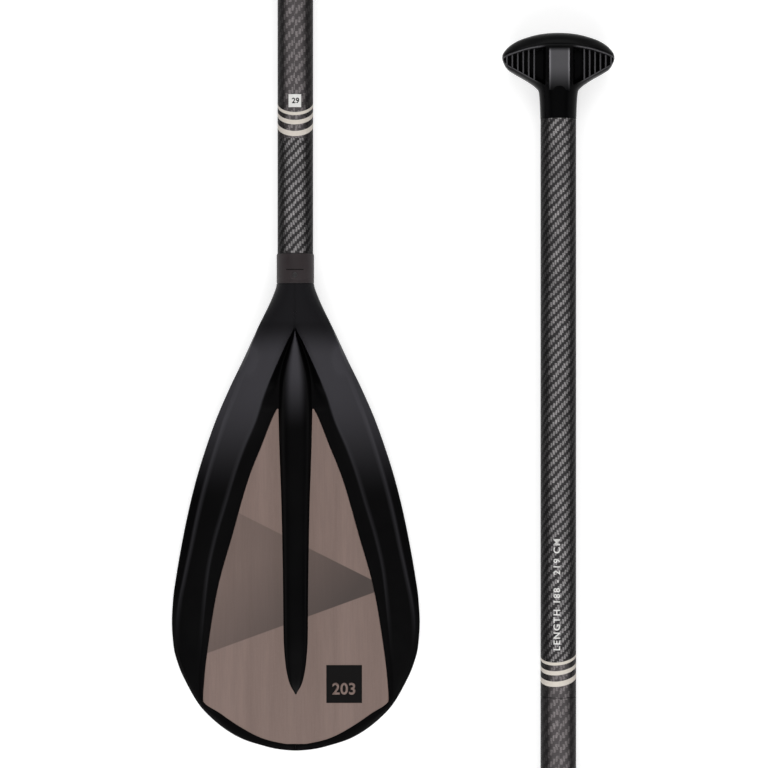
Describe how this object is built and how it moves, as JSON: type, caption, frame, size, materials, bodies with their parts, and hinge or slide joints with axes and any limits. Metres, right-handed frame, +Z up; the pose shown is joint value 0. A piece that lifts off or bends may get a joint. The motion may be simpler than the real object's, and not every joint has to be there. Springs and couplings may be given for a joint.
{
  "type": "kayak paddle",
  "caption": "Travel paddle shown as two lengths side by side: teardrop blade with spine on a lower shaft, and a T-grip with an extension shaft and lever clamp.",
  "frame": {"origin": "centre of the outline on the ground, under the part", "axes": "+Y along both shafts from the blade tip to the free end of the lower shaft, +Z up out of the blade's face, +X from the blade length to the grip length"},
  "size_m": [0.3616, 1.353, 0.0406],
  "materials": {
    "black_nylon": "satin moulded glass-filled nylon",
    "inlay_taupe": "matte moulded inlay, warm grey with a darker printed wedge",
    "collar_grey": "matte dark grey moulding",
    "carbon_tube": "clear-coated twill carbon-fibre tube",
    "black_sleeve": "smooth black tube or bush",
    "palm_black": "soft palm moulding",
    "steel": "stainless steel",
    "clip_black": "black-coated spring clip"
  },
  "bodies": {
    "blade_section": {"blade_frame": "black_nylon", "blade_panel_front": "inlay_taupe", "blade_panel_back": "inlay_taupe", "neck_collar": "collar_grey"},
    "lower_shaft": {"lower_tube": "carbon_tube", "lower_spigot": "black_sleeve", "lower_end_plug": "collar_grey"},
    "blade_button": {"blade_clip": "clip_black"},
    "shaft_button": {"shaft_clip": "clip_black"},
    "extension": {"extension_tube": "carbon_tube", "handle_spigot": "black_sleeve", "extension_end_plug": "collar_grey"},
    "clamp_section": {"clamp_tube": "carbon_tube", "mouth_ferrule": "collar_grey", "mouth_wiper": "black_sleeve", "clamp_body": "collar_grey", "lever_pin": "steel", "tension_bolt": "steel", "tension_nut": "steel"},
    "lever": {"clamp_lever": "collar_grey"},
    "handle_button": {"handle_clip": "clip_black"},
    "handle_section": {"handle_tube": "carbon_tube", "grip_body": "black_nylon", "palm_cap": "palm_black", "grip_plate_front": "collar_grey", "grip_plate_back": "collar_grey"}
  },
  "joints": [
    {"name": "blade_joint", "type": "slide", "parent": "blade_section", "child": "lower_shaft", "axis": [0, -1, 0], "range_m": [-0.085, 0], "deforming": ["blade_clip"]},
    {"name": "blade_button_press", "type": "slide", "parent": "lower_shaft", "child": "blade_button", "axis": [0, 0, 1], "range_m": [-0.004, 0], "stiffness_N_per_m": 1200, "springref_m": 0.002, "deforming": ["blade_clip"]},
    {"name": "shaft_button_press", "type": "slide", "parent": "lower_shaft", "child": "shaft_button", "axis": [0, 0, 1], "range_m": [-0.0045, 0], "stiffness_N_per_m": 1200, "springref_m": 0.002, "deforming": ["shaft_clip"]},
    {"name": "in_line", "type": "slide", "parent": "blade_section", "child": "extension", "axis": [-0.1327, 0.9912, 0], "range_m": [0, 1.61427]},
    {"name": "length_adjust", "type": "slide", "parent": "extension", "child": "clamp_section", "axis": [0, -1, 0], "range_m": [-0.04, 0.31]},
    {"name": "clamp_lever_turn", "type": "hinge", "parent": "clamp_section", "child": "lever", "pos_m": [0.16, -0.2435, 0.0309], "axis": [0, -1, 0], "range_deg": [-110, 0]},
    {"name": "handle_button_press", "type": "slide", "parent": "extension", "child": "handle_button", "axis": [0, 0, -1], "range_m": [-0.004, 0], "stiffness_N_per_m": 1200, "springref_m": 0.002, "deforming": ["handle_clip"]},
    {"name": "handle_joint", "type": "slide", "parent": "extension", "child": "handle_section", "axis": [0, -1, 0], "range_m": [-0.08, 0], "deforming": ["handle_clip"]}
  ]
}
